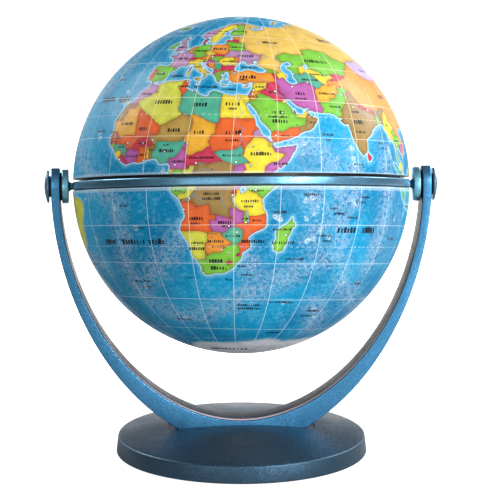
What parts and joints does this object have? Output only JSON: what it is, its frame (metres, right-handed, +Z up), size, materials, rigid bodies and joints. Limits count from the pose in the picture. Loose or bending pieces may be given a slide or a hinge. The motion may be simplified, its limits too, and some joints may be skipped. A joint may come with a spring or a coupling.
{
  "type": "desktop globe",
  "caption": "Desktop globe: a printed ball that spins in an equator ring, the ring tilting between the ends of a U-shaped arm on a round weighted base.",
  "frame": {"origin": "centre of the base's underside", "axes": "+Z up, X from pivot to pivot, -Y towards the front, where the ring's raised edge is"},
  "size_m": [0.1636, 0.14, 0.1843],
  "materials": {
    "base_paint": "metallic blue lacquer",
    "arm_paint": "metallic blue lacquer",
    "ring_paint": "metallic blue lacquer",
    "disc_paint": "metallic blue lacquer",
    "map_print": "printed and laminated, semi-gloss",
    "shell_plastic": "moulded",
    "white_plastic": "moulded",
    "black_plastic": "moulded",
    "pad_rubber": "foam sheet",
    "steel_plate": "plain grey",
    "ballast_iron": "as cast",
    "zinc_steel": "zinc plated",
    "spring_steel": "blued spring temper"
  },
  "bodies": {
    "stand": {"base_shell": "base_paint", "base_plate": "steel_plate", "ballast": "ballast_iron", "foot_pad": "pad_rubber", "plate_screws": "zinc_steel", "arm_front": "arm_paint", "arm_back": "arm_paint", "arm_dowels": "white_plastic", "arm_screws": "zinc_steel", "arm_screw_washers": "zinc_steel", "left_bush": "white_plastic", "right_bush": "white_plastic"},
    "ring": {"equator_ring": "ring_paint", "left_pivot_disc": "disc_paint", "right_pivot_disc": "disc_paint", "left_pivot_bolt": "zinc_steel", "right_pivot_bolt": "zinc_steel", "left_pivot_cap": "disc_paint", "right_pivot_cap": "disc_paint", "left_wave_washer": "spring_steel", "right_wave_washer": "spring_steel", "left_slip_washer": "black_plastic", "right_slip_washer": "black_plastic", "upper_glide_ring": "black_plastic", "lower_glide_ring": "black_plastic"},
    "globe": {"snap_collar": "black_plastic", "north_shell": "shell_plastic", "south_shell": "shell_plastic", "north_map_skin": "map_print", "south_map_skin": "map_print"}
  },
  "joints": [
    {"name": "ring_tilt", "type": "hinge", "parent": "stand", "child": "ring", "pos_m": [0, 0, 0.1143], "axis": [1, 0, 0], "continuous": true},
    {"name": "globe_spin", "type": "hinge", "parent": "ring", "child": "globe", "pos_m": [0, 0, 0.1143], "axis": [0, 0.1857, 0.9826], "continuous": true}
  ]
}
